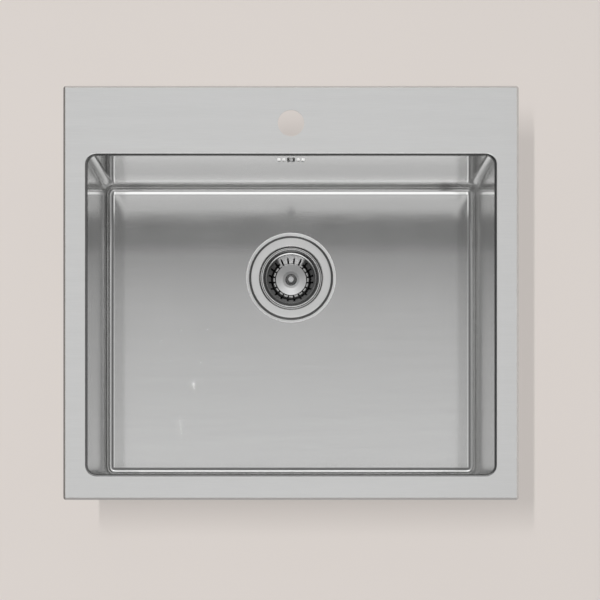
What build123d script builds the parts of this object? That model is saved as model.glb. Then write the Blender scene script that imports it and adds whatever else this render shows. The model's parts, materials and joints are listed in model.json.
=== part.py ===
from build123d import *
import os
from math import radians, sqrt, tan

# Single bowl kitchen sink that is set into a worktop from above, with its basket waste, its
# overflow and its fixing clips. Millimetres, +X to the right, +Y towards the tap side, +Z up.
# The origin is the middle of the worktop's cut-out, on the worktop's top face.

# Deck: the flat sheet round the bowl, with the tap ledge at the rear
rim_width = 550.0
rim_depth = 500.0
rim_height = 3.0  # worktop to the deck's top
rim_foot = 0.3  # upright part of the edge, under the slant
rim_top_corner = 0.5  # plan radius left at the deck's corners, above the slant
rim_overhang = 10.0  # how far the edge reaches past the worktop's cut-out
sheet = 1.0
side_land = 26.0
front_land = 28.0
rear_land = 81.0
roll_radius = 3.0  # turned edge at the bowl's mouth
collar_drop = 6.0  # deck's top to the weld with the bowl
pocket_corner_radius = 2.0
tap_hole_radius = 16.0

# Bowl
bowl_depth = 200.0
corner_radius = 11.0
floor_radius = 10.0
waste_to_rear = 120.5  # rear wall to the middle of the waste
recess_depth = 3.0
recess_edge_radius = 1.5
recess_foot_radius = 0.8
waste_hole_gap = 2.2  # strainer cup to the hole's edge

# Overflow slots in the rear wall
overflow_drop = 28.0  # deck's top to the middle of the slots
slot_pitch = 5.9
slot_width = 3.4
slot_height_middle = 27.0
slot_height_outer = 20.0
slots_each_side = 3

# Seal, stiffener and sound pads
seal_margin = 0.3
stiffener_width = 150.0
stiffener_thickness = 1.5
stiffener_margin = 3.0
stiffener_corner_radius = 6.0
stiffener_hole_clearance = 1.5
pad_thickness = 2.0
pad_edge_margin = 16.0  # from the start of a bend in the sheet to a pad
pad_corner_radius = 8.0
pad_clip_margin = 8.0
front_pad_width = 300.0
floor_pad_gap = 15.0
waste_pad_margin = 14.0
hose_pad_margin = 20.0

# Fixing clips
clip_to_corner = 95.0  # along the cut-out's front and rear edges
claw_margin = 2.0  # between a folded claw and the bowl, and the worktop
claw_grip = 17.0  # how far a claw reaches under the worktop
claw_thickness = 2.0
claw_tip_rise = 7.5
claw_tip_thickness = 2.4
claw_tooth = 2.0
claw_teeth = 3
claw_hole_clearance = 0.1
worktop_thickest = 40.0
worktop_clearance = 1.0
bracket_sheet = 1.5
bracket_drop = 28.0  # deck's underside to the underside of the bridge
bracket_half_span = 10.0
bracket_foot = 8.0
bracket_margin = 3.0
bracket_boss_radius = 4.5
bracket_boss_height = 2.5
screw_radius = 2.5
screw_length = 30.0
screw_head_radius = 4.6
screw_head_height = 3.5
screw_slot_width = 1.2
screw_slot_depth = 1.4
thread_clearance = 0.05
washer_radius = 5.2
washer_thickness = 1.0

# Strainer cup that is pressed from sheet, with its flange
flange_radius = 56.0
flange_margin = 0.5  # flange to the foot of the recess
flange_width = 14.5
flange_edge_bend = 6.0
flange_drop = 1.0  # flange's top below the bowl's floor
flange_edge_drop = 0.9
flange_edge_width = 4.0
cup_sheet = 0.8
cup_roll_radius = 2.5
cup_ledge_radius = 0.8
cup_step_radius = 1.0
cup_shoulder_radius = 3.0
cup_lip_radius = 1.5
cup_ledge_depth = 6.5
cup_ledge_width = 4.0
cup_shoulder_depth = 28.0
cup_outlet_radius = 22.5
cup_outlet_depth = 36.0
cup_lip = 4.0
cup_arm_width = 5.0
cup_arm_thickness = 1.5
cup_hub_radius = 8.0
cup_arms = 3
gasket_margin = 1.5

# Basket
basket_sheet = 0.7
basket_side_gap = 1.7
basket_seat_gap = 0.3
basket_rim_height = 2.6
basket_rim_width = 4.4
basket_step_depth = 8.8
basket_step_width = 2.6
basket_cone_foot_radius = 24.0
basket_depth = 23.0
basket_trough_width = 2.4
basket_dome_radius = 20.8
basket_dome_rise = 2.0
basket_crown_radius = 11.5
basket_crown_rise = 2.0
basket_dish_radius = 7.0
basket_dish_depth = 3.6
basket_wall_taper = 0.2
basket_step_fall = 0.4
basket_rim_bend = 1.3
basket_wall_bend = 0.8
basket_step_bend = 0.6
basket_cone_bend = 1.2
basket_trough_bend = 0.4
basket_dome_foot_bend = 0.7
basket_dome_bend = 1.0
basket_crown_bend = 1.5
basket_slots = 20
basket_slot_width = 2.4
basket_slot_top = 13.0  # below the bowl's floor
knob_base_radius = 3.6
knob_neck_radius = 2.6
knob_head_radius = 4.7
knob_base_height = 1.0
knob_neck_height = 3.5
knob_head_height = 3.5
knob_shank_radius = 2.4
knob_shank_length = 3.6
shank_clearance = 0.1
spacer_radius = 7.0
spacer_height = 4.0
spacer_flange_radius = 12.0
spacer_flange_height = 1.0
stopper_radius = 25.0
stopper_hub_height = 2.6
stopper_seat_gap = 0.3
stem_radius = 3.4
guide_radius = 2.0
guide_end_depth = 47.0  # below the bowl's floor

# Waste body under the bowl
gasket_thickness = 2.0
body_ring_height = 4.0
chamber_gap = 1.2  # strainer cup to the chamber's wall
chamber_wall = 2.5
chamber_margin = 1.0
funnel_height = 16.0
outlet_thread_radius = 23.9
outlet_bore_radius = 20.5
outlet_length = 20.0
hub_radius = 9.5
hub_height = 13.0
hub_rib_thickness = 3.0
hub_ribs = 3
insert_radius = 6.5
insert_height = 9.0
clamp_head_radius = 6.5
clamp_head_height = 4.0
clamp_shank_radius = 4.0
clamp_shank_clearance = 0.3
clamp_shank_length = 26.0
clamp_bore_radius = 2.3
clamp_bore_margin = 2.0
inlet_radius = 13.0
inlet_bore_radius = 8.5
inlet_margin = 1.0

# Overflow fittings behind the rear wall
overflow_gasket_thickness = 1.5
overflow_frame = 2.5
overflow_slot_margin = 2.0
housing_corner_radius = 5.0
housing_depth = 14.0
housing_tray_depth = 5.0
housing_back = 2.0
housing_well_radius = 11.5
housing_well_height = 15.0
channel_width = 13.0
post_radius = 3.0
post_gap = 0.3
spigot_radius = 9.9
spigot_bore_radius = 7.5
spigot_length = 15.0
overflow_screw_radius = 1.95
overflow_screw_clearance = 0.25
overflow_screw_length = 11.0
overflow_screw_head_radius = 3.2
overflow_screw_head_height = 2.4
overflow_screw_head_round = 1.9
pilot_clearance = 0.05

# Overflow hose, from the housing's spigot to the waste body's inlet
hose_radius = 11.5
hose_bore_radius = 10.0
hose_gap = 3.0  # hose to the bowl's rear wall
hose_bend_radius = 34.0
cuff_radius = 12.8
cuff_length = 3.0
hose_seal_thickness = 2.0
hose_seal_margin = 0.2
nut_clearance = 0.1
nut_radius = 16.5
nut_grip_radius = 1.4
nut_grips = 12
nut_overlap = 10.0
nut_end = 2.5
nut_ring_gap = 1.5  # nut to the waste body's ring
nut_hose_clearance = 0.3
band_clearance = 0.05
band_thickness = 0.8
band_height = 8.0
band_inset = 4.0
band_screw_radius = 3.2
band_screw_length = 11.0

# Heights and places that follow from the sizes above
deck_top = rim_height
deck_under = rim_height - sheet
rim_slant = rim_height - rim_foot
rim_corner_radius = rim_slant + rim_top_corner
edge_foot_width = rim_slant + sheet * (sqrt(2) - 1)  # keeps the slanted edge a sheet thick
mouth_width = rim_width - 2 * side_land
mouth_depth = rim_depth - front_land - rear_land
mouth_y = (front_land - rear_land) / 2
bowl_width = mouth_width - 2 * roll_radius
bowl_length = mouth_depth - 2 * roll_radius
weld_z = deck_top - collar_drop
floor_z = deck_top - bowl_depth
floor_under = floor_z - sheet
bowl_side = bowl_width / 2
bowl_front = mouth_y - bowl_length / 2
bowl_rear = mouth_y + bowl_length / 2
rear_outside = bowl_rear + sheet
cutout_width = rim_width - 2 * rim_overhang
cutout_depth = rim_depth - 2 * rim_overhang
tap_y = rim_depth / 2 - rear_land + (rear_land - rim_overhang) / 2
waste_y = bowl_rear - waste_to_rear
recess_radius = flange_radius + flange_margin + recess_depth
cup_mouth_radius = flange_radius - flange_width
waste_hole_radius = cup_mouth_radius + cup_sheet + waste_hole_gap
chamber_radius = cup_mouth_radius + cup_sheet + chamber_gap
overflow_z = deck_top - overflow_drop
land_gap = min(side_land, front_land, rear_land) + roll_radius - sheet - rim_overhang
clip_inset = land_gap / 2  # from the cut-out's edge to a clip's axis


def save(piece, label):
    """Names a finished piece and writes its STEP file."""
    piece.part.label = label
    export_step(piece.part, f"parts/{label}.step")


def edges_at(piece, height, width, length, middle_y):
    """The edges at one height whose middles lie inside a rectangle round the bowl's axis."""
    near = 0.01
    level = piece.edges().filter_by_position(Axis.Z, height - near, height + near)
    across = level.filter_by_position(Axis.X, -width / 2 - near, width / 2 + near)
    low, high = middle_y - length / 2 - near, middle_y + length / 2 + near
    return across.filter_by_position(Axis.Y, low, high)


os.makedirs("parts", exist_ok=True)

# Deck with its slanted edge, the pocket under it and the collar that turns down into the bowl
with BuildPart() as deck:
    with BuildSketch():
        RectangleRounded(rim_width, rim_depth, rim_corner_radius)
    extrude(amount=rim_height)
    chamfer(deck.edges().group_by(Axis.Z)[-1], length=rim_slant)
    with BuildSketch():
        RectangleRounded(
            rim_width - 2 * edge_foot_width, rim_depth - 2 * edge_foot_width, pocket_corner_radius
        )
    extrude(amount=deck_under, mode=Mode.SUBTRACT)
    with BuildSketch(Plane.XY.offset(weld_z)):
        with Locations((0, mouth_y)):
            RectangleRounded(bowl_width + 2 * sheet, bowl_length + 2 * sheet, corner_radius + sheet)
    extrude(amount=deck_under - weld_z)
    outer_width, outer_length = bowl_width + 2 * sheet, bowl_length + 2 * sheet
    fillet(edges_at(deck, deck_under, outer_width, outer_length, mouth_y), roll_radius - sheet)
    with BuildSketch(Plane.XY.offset(weld_z)):
        with Locations((0, mouth_y)):
            RectangleRounded(bowl_width, bowl_length, corner_radius)
    extrude(amount=collar_drop, mode=Mode.SUBTRACT)
    fillet(edges_at(deck, deck_top, bowl_width, bowl_length, mouth_y), roll_radius)
    with BuildSketch(Plane.XY.offset(deck_under)):
        with Locations((0, tap_y)):
            Circle(tap_hole_radius)
    extrude(amount=sheet, mode=Mode.SUBTRACT)
save(deck, "deck")

# Bowl: an outer box with the inside taken out, then the waste recess and the overflow slots
waste_section = Plane(origin=(0, waste_y, floor_z), x_dir=(1, 0, 0), z_dir=(0, -1, 0))
waste_axis = Axis((0, waste_y, 0), (0, 0, 1))
sheet_turn = sheet * (sqrt(2) - 1)
recess_flat_radius = recess_radius - recess_depth
with BuildPart() as bowl_space:
    with BuildSketch(Plane.XY.offset(weld_z)):
        with Locations((0, mouth_y)):
            RectangleRounded(bowl_width, bowl_length, corner_radius)
    extrude(amount=floor_z - weld_z)
    fillet(bowl_space.edges().group_by(Axis.Z)[0], floor_radius)

with BuildPart() as bowl:
    with BuildSketch(Plane.XY.offset(weld_z)):
        with Locations((0, mouth_y)):
            RectangleRounded(bowl_width + 2 * sheet, bowl_length + 2 * sheet, corner_radius + sheet)
    extrude(amount=floor_under - weld_z)
    fillet(bowl.edges().group_by(Axis.Z)[0], floor_radius + sheet)
    add(bowl_space.part, mode=Mode.SUBTRACT)
    with BuildSketch(Plane.XY.offset(floor_under)):
        with Locations((0, waste_y)):
            Circle(recess_radius)
    extrude(amount=sheet, mode=Mode.SUBTRACT)
    with BuildSketch(waste_section):
        with BuildLine():
            Polyline(
                (recess_radius, 0),
                (recess_radius + sheet_turn, -sheet),
                (recess_flat_radius + sheet_turn, -sheet - recess_depth),
                (waste_hole_radius, -sheet - recess_depth),
                (waste_hole_radius, -recess_depth),
                (recess_flat_radius, -recess_depth),
                close=True,
            )
        make_face()
    revolve(axis=waste_axis)
    rings = bowl.edges().filter_by(GeomType.CIRCLE)
    recess_edge = rings.filter_by(lambda e: abs(e.radius - recess_radius) < 0.01)
    fillet(recess_edge.sort_by(Axis.Z)[-1], recess_edge_radius)
    rings = bowl.edges().filter_by(GeomType.CIRCLE)
    recess_foot = rings.filter_by(lambda e: abs(e.radius - recess_flat_radius) < 0.01)
    fillet(recess_foot.sort_by(Axis.Z)[-1], recess_foot_radius)
    wall_plane = Plane(origin=(0, bowl_rear, overflow_z), x_dir=(1, 0, 0), z_dir=(0, -1, 0))
    with BuildSketch(wall_plane):
        for step in range(slots_each_side):
            height = slot_height_middle if step == 0 else slot_height_outer
            at = slot_pitch * (step + 0.5)
            with Locations((-at, 0), (at, 0)):
                SlotOverall(height, slot_width, rotation=90)
        Circle(overflow_screw_radius + overflow_screw_clearance)
    extrude(amount=-sheet, mode=Mode.SUBTRACT)
save(bowl, "bowl")

# Sealing strip between the edge's foot and the cut-out
seal_outer_width = rim_width - 2 * (edge_foot_width + seal_margin)
seal_outer_depth = rim_depth - 2 * (edge_foot_width + seal_margin)
seal_width = rim_overhang - edge_foot_width - 2 * seal_margin
with BuildPart() as rim_seal:
    with BuildSketch():
        RectangleRounded(seal_outer_width, seal_outer_depth, pocket_corner_radius)
        Rectangle(
            seal_outer_width - 2 * seal_width, seal_outer_depth - 2 * seal_width, mode=Mode.SUBTRACT
        )
    extrude(amount=deck_under)
save(rim_seal, "rim_seal")

# Stiffening plate under the tap ledge
ledge_front = rear_outside + roll_radius - sheet + stiffener_margin
ledge_rear = cutout_depth / 2 - stiffener_margin
with BuildPart() as stiffener:
    with BuildSketch(Plane.XY.offset(deck_under)):
        with Locations((0, (ledge_front + ledge_rear) / 2)):
            RectangleRounded(stiffener_width, ledge_rear - ledge_front, stiffener_corner_radius)
        with Locations((0, tap_y)):
            Circle(tap_hole_radius + stiffener_hole_clearance, mode=Mode.SUBTRACT)
    extrude(amount=-stiffener_thickness)
save(stiffener, "tap_ledge_stiffener")

# Fixing clips: a clip's plane has its X outwards, square to the edge that it holds
edge_x = cutout_width / 2 - clip_inset
edge_y = cutout_depth / 2 - clip_inset
end_x = cutout_width / 2 - clip_to_corner
clip_places = {
    "right": (edge_x, mouth_y, 0),
    "left": (-edge_x, mouth_y, 180),
    "front_right": (end_x, -edge_y, 270),
    "front_left": (-end_x, -edge_y, 270),
    "rear_right": (end_x, edge_y, 90),
    "rear_left": (-end_x, edge_y, 90),
}
claw_width = land_gap - 2 * claw_margin
bracket_width = land_gap - 2 * bracket_margin
bridge_under = deck_under - bracket_drop
boss_top = bridge_under + bracket_sheet + bracket_boss_height
claw_tip_top = -worktop_thickest - worktop_clearance
claw_top = claw_tip_top - claw_tip_rise
washer_top = claw_top - claw_thickness
head_top = washer_top - washer_thickness
claw_reach = clip_inset + claw_grip
hole_radius = screw_radius + thread_clearance


def clip_plane(place, height):
    """The plane across a clip's axis at one height."""
    x, y, turn = clip_places[place]
    return Plane(origin=(x, y, 0)).rotated((0, 0, turn)).offset(height)


with BuildPart() as brackets:
    for place in clip_places:
        with BuildSketch(clip_plane(place, deck_under)):
            with Locations((0, bracket_half_span), (0, -bracket_half_span)):
                Rectangle(bracket_width, bracket_sheet)
        extrude(amount=-bracket_drop)
        with BuildSketch(clip_plane(place, deck_under)):
            foot_middle = bracket_half_span + bracket_foot / 2
            with Locations((0, foot_middle), (0, -foot_middle)):
                Rectangle(bracket_width, bracket_foot)
        extrude(amount=-bracket_sheet)
        with BuildSketch(clip_plane(place, bridge_under)):
            Rectangle(bracket_width, 2 * bracket_half_span + bracket_sheet)
        extrude(amount=bracket_sheet)
        with BuildSketch(clip_plane(place, bridge_under)):
            Circle(bracket_boss_radius)
        extrude(amount=boss_top - bridge_under)
        with BuildSketch(clip_plane(place, bridge_under)):
            Circle(hole_radius)
        extrude(amount=boss_top - bridge_under, mode=Mode.SUBTRACT)
save(brackets, "clip_brackets")

# A claw is folded along the edge at rest and swings outwards under the worktop
claw_notch_pitch = claw_width / claw_teeth
for place in clip_places:
    with BuildPart() as screw:
        with BuildSketch(clip_plane(place, head_top)):
            Circle(screw_radius)
        extrude(amount=screw_length)
        chamfer(screw.edges().group_by(Axis.Z)[-1], length=screw_radius / 5)
        with BuildSketch(clip_plane(place, head_top)):
            RegularPolygon(screw_head_radius, 6)
        extrude(amount=-screw_head_height)
        with BuildSketch(clip_plane(place, head_top - screw_head_height)):
            Rectangle(3 * screw_head_radius, screw_slot_width)
        extrude(amount=screw_slot_depth, mode=Mode.SUBTRACT)
    save(screw, f"clip_screw_{place}")

    with BuildPart() as washer:
        with BuildSketch(clip_plane(place, head_top)):
            Circle(washer_radius)
            Circle(hole_radius, mode=Mode.SUBTRACT)
        extrude(amount=washer_thickness)
    save(washer, f"clip_washer_{place}")

    with BuildPart() as claw:
        with BuildSketch(clip_plane(place, washer_top)):
            Circle(claw_width / 2)
            with Locations((0, claw_reach / 2)):
                Rectangle(claw_width, claw_reach)
            Circle(screw_radius + claw_hole_clearance, mode=Mode.SUBTRACT)
        extrude(amount=claw_thickness)
        with BuildSketch(clip_plane(place, claw_top)):
            with Locations((0, claw_reach - claw_tip_thickness / 2)):
                Rectangle(claw_width, claw_tip_thickness)
        extrude(amount=claw_tip_rise)
        with BuildSketch(clip_plane(place, claw_tip_top - claw_tooth)):
            for notch in range(claw_teeth - 1):
                across = (notch + 1 - claw_teeth / 2) * claw_notch_pitch
                with Locations((across, claw_reach - claw_tip_thickness / 2)):
                    Rectangle(claw_notch_pitch / 2, 2 * claw_tip_thickness)
        extrude(amount=claw_tooth, mode=Mode.SUBTRACT)
    save(claw, f"clip_claw_{place}")

# Sound pads on the flat outside of the walls and the floor
pad_top = head_top - screw_head_height - pad_clip_margin
pad_foot = floor_z + floor_radius + pad_edge_margin
wall_pad_height = pad_top - pad_foot
wall_pad_middle = (pad_top + pad_foot) / 2
wall_inset = corner_radius + pad_edge_margin
side_plane = Plane(origin=(0, mouth_y, wall_pad_middle), x_dir=(0, 1, 0), z_dir=(1, 0, 0))
with BuildPart() as pad_right:
    with BuildSketch(side_plane.offset(bowl_side + sheet)):
        RectangleRounded(bowl_length - 2 * wall_inset, wall_pad_height, pad_corner_radius)
    extrude(amount=pad_thickness)
save(pad_right, "pad_right")

with BuildPart() as pad_left:
    with BuildSketch(side_plane.offset(-bowl_side - sheet)):
        RectangleRounded(bowl_length - 2 * wall_inset, wall_pad_height, pad_corner_radius)
    extrude(amount=-pad_thickness)
save(pad_left, "pad_left")

end_plane = Plane(origin=(0, 0, wall_pad_middle), x_dir=(1, 0, 0), z_dir=(0, -1, 0))
with BuildPart() as pad_front:
    with BuildSketch(end_plane.offset(sheet - bowl_front)):
        RectangleRounded(front_pad_width, wall_pad_height, pad_corner_radius)
    extrude(amount=pad_thickness)
save(pad_front, "pad_front")

rear_pad_inner = hose_radius + hose_pad_margin
rear_pad_width = bowl_side - wall_inset - rear_pad_inner
for label, sign in (("pad_rear_right", 1), ("pad_rear_left", -1)):
    with BuildPart() as pad_rear:
        with BuildSketch(end_plane.offset(-rear_outside)):
            with Locations((sign * (rear_pad_inner + rear_pad_width / 2), 0)):
                RectangleRounded(rear_pad_width, wall_pad_height, pad_corner_radius)
        extrude(amount=-pad_thickness)
    save(pad_rear, label)

floor_pad_front = bowl_front + floor_radius + pad_edge_margin
floor_pad_rear = bowl_rear - floor_radius - pad_edge_margin
front_pad_rear = waste_y - recess_radius - waste_pad_margin
with BuildPart() as pad_floor_front:
    with BuildSketch(Plane.XY.offset(floor_under)):
        with Locations((0, (floor_pad_front + front_pad_rear) / 2)):
            RectangleRounded(front_pad_width, front_pad_rear - floor_pad_front, pad_corner_radius)
    extrude(amount=-pad_thickness)
save(pad_floor_front, "pad_floor_front")

side_pad_front = front_pad_rear + floor_pad_gap
side_pad_inner = recess_radius + waste_pad_margin
side_pad_outer = bowl_side - floor_radius - pad_edge_margin
for label, sign in (("pad_floor_right", 1), ("pad_floor_left", -1)):
    with BuildPart() as pad_floor:
        with BuildSketch(Plane.XY.offset(floor_under)):
            middle_x = sign * (side_pad_inner + side_pad_outer) / 2
            with Locations((middle_x, (side_pad_front + floor_pad_rear) / 2)):
                RectangleRounded(
                    side_pad_outer - side_pad_inner, floor_pad_rear - side_pad_front, pad_corner_radius
                )
        extrude(amount=-pad_thickness)
    save(pad_floor, label)

# Strainer cup: one pressed sheet from the flange to the outlet's lip, with a cross of arms
flange_under = flange_drop + cup_sheet
ledge_inner_radius = cup_mouth_radius - cup_ledge_width
lip_depth = cup_outlet_depth + cup_lip
with BuildPart() as cup:
    with BuildSketch(waste_section):
        with BuildLine():
            FilletPolyline(
                (flange_radius, -flange_drop - flange_edge_drop),
                (flange_radius - flange_edge_width, -flange_drop),
                (cup_mouth_radius, -flange_drop),
                (cup_mouth_radius, -cup_ledge_depth),
                (ledge_inner_radius, -cup_ledge_depth),
                (ledge_inner_radius, -cup_shoulder_depth),
                (cup_outlet_radius, -cup_outlet_depth),
                (cup_outlet_radius, -lip_depth),
                radius=[
                    flange_edge_bend,
                    cup_roll_radius,
                    cup_ledge_radius,
                    cup_step_radius,
                    cup_shoulder_radius,
                    cup_lip_radius,
                ],
            )
            offset(amount=cup_sheet, side=Side.LEFT)
        make_face()
    revolve(axis=waste_axis)
    with BuildSketch(Plane.XY.offset(floor_z - lip_depth)):
        with Locations((0, waste_y)):
            Circle(cup_hub_radius)
            with PolarLocations(cup_outlet_radius / 2, cup_arms, start_angle=90):
                Rectangle(cup_outlet_radius + cup_sheet, cup_arm_width)
            Circle(clamp_shank_radius + clamp_shank_clearance, mode=Mode.SUBTRACT)
    extrude(amount=cup_arm_thickness)
save(cup, "waste_flange")

upper_gasket_height = recess_depth - flange_under
with BuildPart() as flange_gasket:
    with BuildSketch(Plane.XY.offset(floor_z - recess_depth)):
        with Locations((0, waste_y)):
            Circle(flange_radius - flange_edge_width - gasket_margin)
            Circle(waste_hole_radius + gasket_margin, mode=Mode.SUBTRACT)
    extrude(amount=upper_gasket_height)
save(flange_gasket, "flange_gasket")

# Basket, with its slots cut from the cone down into the trough at its foot
basket_rim_radius = cup_mouth_radius - basket_side_gap
basket_rim_low = cup_ledge_depth - basket_seat_gap
basket_rim_top = basket_rim_low - basket_rim_height
basket_wall_radius = basket_rim_radius - basket_rim_width
cone_top_radius = basket_wall_radius - basket_step_width
trough_inner_radius = basket_cone_foot_radius - basket_trough_width
dome_depth = basket_depth - basket_dome_rise
crown_depth = dome_depth - basket_crown_rise
dish_depth = crown_depth + basket_dish_depth
knob_hole_radius = knob_shank_radius + shank_clearance
with BuildPart() as basket:
    with BuildSketch(waste_section):
        with BuildLine():
            FilletPolyline(
                (basket_rim_radius, -basket_rim_low),
                (basket_rim_radius, -basket_rim_top),
                (basket_wall_radius, -basket_rim_top),
                (basket_wall_radius - basket_wall_taper, -basket_step_depth),
                (cone_top_radius, -basket_step_depth - basket_step_fall),
                (basket_cone_foot_radius, -basket_depth),
                (trough_inner_radius, -basket_depth),
                (basket_dome_radius, -dome_depth),
                (basket_crown_radius, -crown_depth),
                (basket_dish_radius, -dish_depth),
                (knob_hole_radius, -dish_depth),
                radius=[
                    basket_rim_bend,
                    basket_rim_bend,
                    basket_wall_bend,
                    basket_step_bend,
                    basket_cone_bend,
                    basket_trough_bend,
                    basket_dome_foot_bend,
                    basket_dome_bend,
                    basket_crown_bend,
                ],
            )
            offset(amount=basket_sheet, side=Side.LEFT)
        make_face()
    revolve(axis=waste_axis)
    slot_reach = cone_top_radius - trough_inner_radius
    slot_middle = trough_inner_radius + slot_reach / 2
    with BuildSketch(Plane.XY.offset(floor_z - basket_slot_top)):
        with Locations((0, waste_y)):
            with PolarLocations(slot_middle, basket_slots, start_angle=180 / basket_slots):
                SlotOverall(slot_reach, basket_slot_width)
    extrude(amount=basket_slot_top - basket_depth - 2 * basket_sheet, mode=Mode.SUBTRACT)
save(basket, "basket")

# Knob on the basket's dish, with a shank through the sheet into the stem
knob_base_top = knob_base_height - dish_depth
knob_neck_top = knob_base_top + knob_neck_height
knob_top = knob_neck_top + knob_head_height
shank_end = -dish_depth - knob_shank_length
with BuildPart() as knob:
    with BuildSketch(waste_section):
        with BuildLine():
            Polyline(
                (0, shank_end),
                (knob_shank_radius, shank_end),
                (knob_shank_radius, -dish_depth),
                (knob_base_radius, -dish_depth),
                (knob_base_radius, knob_base_top),
                (knob_neck_radius, knob_base_top + knob_base_height),
                (knob_neck_radius, knob_neck_top - knob_base_height),
                (knob_head_radius, knob_neck_top + knob_base_height),
                (knob_head_radius, knob_top),
                (0, knob_top),
                close=True,
            )
        make_face()
    revolve(axis=waste_axis)
    fillet(knob.edges().group_by(Axis.Z)[-1], knob_base_height)
save(knob, "basket_knob")

# Stem under the basket: a spacer that takes the knob's shank, a flange and the guide pin
stem_top = -dish_depth - basket_sheet
flange_top = stem_top - spacer_height
flange_low = flange_top - spacer_flange_height
stopper_hub_low = flange_low - stopper_hub_height
with BuildPart() as stem:
    with BuildSketch(waste_section):
        with BuildLine():
            Polyline(
                (0, -guide_end_depth),
                (guide_radius, -guide_end_depth),
                (guide_radius, stopper_hub_low),
                (stem_radius, stopper_hub_low),
                (stem_radius, flange_low),
                (spacer_flange_radius, flange_low),
                (spacer_flange_radius, flange_top),
                (spacer_radius, flange_top),
                (spacer_radius, stem_top),
                (knob_hole_radius, stem_top),
                (knob_hole_radius, shank_end - shank_clearance),
                (0, shank_end - shank_clearance),
                close=True,
            )
        make_face()
    revolve(axis=waste_axis)
save(stem, "basket_stem")

# Rubber stopper, whose rim comes down on the cup's shoulder
shoulder_fall = (cup_outlet_depth - cup_shoulder_depth) / (ledge_inner_radius - cup_outlet_radius)
seat_depth = cup_outlet_depth - (stopper_radius - cup_outlet_radius) * shoulder_fall
stopper_low = -seat_depth + stopper_seat_gap * sqrt(1 + shoulder_fall**2)
stopper_bevel = (stopper_hub_low - stopper_low) / 2
with BuildPart() as stopper:
    with BuildSketch(waste_section):
        with BuildLine():
            Polyline(
                (stem_radius + shank_clearance, flange_low),
                (spacer_flange_radius, flange_low),
                (stopper_radius, stopper_low + stopper_bevel + stopper_hub_height),
                (stopper_radius, stopper_low),
                (stopper_radius - stopper_bevel, stopper_low),
                (spacer_flange_radius, stopper_hub_low),
                (stem_radius + shank_clearance, stopper_hub_low),
                close=True,
            )
        make_face()
    revolve(axis=waste_axis)
save(stopper, "basket_stopper")

# Waste body under the floor: ring, chamber, funnel, threaded outlet, hub and overflow inlet
lower_gasket_top = -recess_depth - sheet
ring_top = lower_gasket_top - gasket_thickness
ring_low = ring_top - body_ring_height
inlet_depth = ring_low - inlet_radius - inlet_margin
chamber_low = inlet_depth - inlet_radius - chamber_margin
outlet_top = chamber_low - funnel_height
outlet_low = outlet_top - outlet_length
chamber_outer = chamber_radius + chamber_wall
inlet_start = waste_y + chamber_radius + chamber_wall / 5
inlet_end = waste_y + flange_radius + nut_ring_gap + nut_overlap
inlet_plane = Plane(origin=(0, inlet_end, floor_z + inlet_depth), x_dir=(1, 0, 0), z_dir=(0, 1, 0))
with BuildPart() as lower_gasket:
    with BuildSketch(Plane.XY.offset(floor_z + ring_top)):
        with Locations((0, waste_y)):
            Circle(flange_radius - gasket_margin)
            Circle(waste_hole_radius + gasket_margin, mode=Mode.SUBTRACT)
    extrude(amount=gasket_thickness)
save(lower_gasket, "lower_gasket")

hub_low = outlet_top - hub_height
insert_top = hub_low + insert_height
with BuildPart() as body:
    with BuildSketch(waste_section):
        with BuildLine():
            Polyline(
                (chamber_radius, ring_top),
                (flange_radius, ring_top),
                (flange_radius, ring_low),
                (chamber_outer, ring_low),
                (chamber_outer, chamber_low),
                (outlet_thread_radius, outlet_top),
                (outlet_thread_radius, outlet_low),
                (outlet_bore_radius, outlet_low),
                (outlet_bore_radius, outlet_top),
                (chamber_radius, chamber_low),
                close=True,
            )
        make_face()
    revolve(axis=waste_axis)
    with BuildSketch(inlet_plane):
        Circle(inlet_radius)
    extrude(amount=inlet_start - inlet_end)
    with BuildSketch(inlet_plane):
        Circle(inlet_bore_radius)
    extrude(amount=inlet_start - inlet_end - chamber_wall * 2, mode=Mode.SUBTRACT)
    rib_reach = (outlet_bore_radius + outlet_thread_radius) / 2
    with BuildSketch(Plane.XY.offset(floor_z + hub_low)):
        with Locations((0, waste_y)):
            Circle(hub_radius)
            with PolarLocations(rib_reach / 2, hub_ribs, start_angle=90):
                Rectangle(rib_reach, hub_rib_thickness)
    extrude(amount=hub_height)
    with BuildSketch(Plane.XY.offset(floor_z + hub_low)):
        with Locations((0, waste_y)):
            Circle(clamp_shank_radius + clamp_shank_clearance)
    extrude(amount=hub_height, mode=Mode.SUBTRACT)
    with BuildSketch(Plane.XY.offset(floor_z + hub_low)):
        with Locations((0, waste_y)):
            RegularPolygon(insert_radius, 6)
    extrude(amount=insert_height, mode=Mode.SUBTRACT)
save(body, "waste_body")

with BuildPart() as insert:
    with BuildSketch(Plane.XY.offset(floor_z + hub_low)):
        with Locations((0, waste_y)):
            RegularPolygon(insert_radius, 6)
            Circle(clamp_shank_radius + thread_clearance, mode=Mode.SUBTRACT)
    extrude(amount=insert_height)
save(insert, "thread_insert")

# Clamp screw: its hollow head stands on the cup's hub and guides the basket's pin
clamp_seat = -lip_depth + cup_arm_thickness
clamp_head_top = clamp_seat + clamp_head_height
clamp_low = clamp_seat - clamp_shank_length
clamp_bore_low = -guide_end_depth - clamp_bore_margin
with BuildPart() as clamp_screw:
    with BuildSketch(waste_section):
        with BuildLine():
            Polyline(
                (0, clamp_low),
                (clamp_shank_radius, clamp_low),
                (clamp_shank_radius, clamp_seat),
                (clamp_head_radius, clamp_seat),
                (clamp_head_radius, clamp_head_top),
                (clamp_bore_radius, clamp_head_top),
                (clamp_bore_radius, clamp_bore_low),
                (0, clamp_bore_low),
                close=True,
            )
        make_face()
    revolve(axis=waste_axis)
save(clamp_screw, "clamp_screw")

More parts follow.
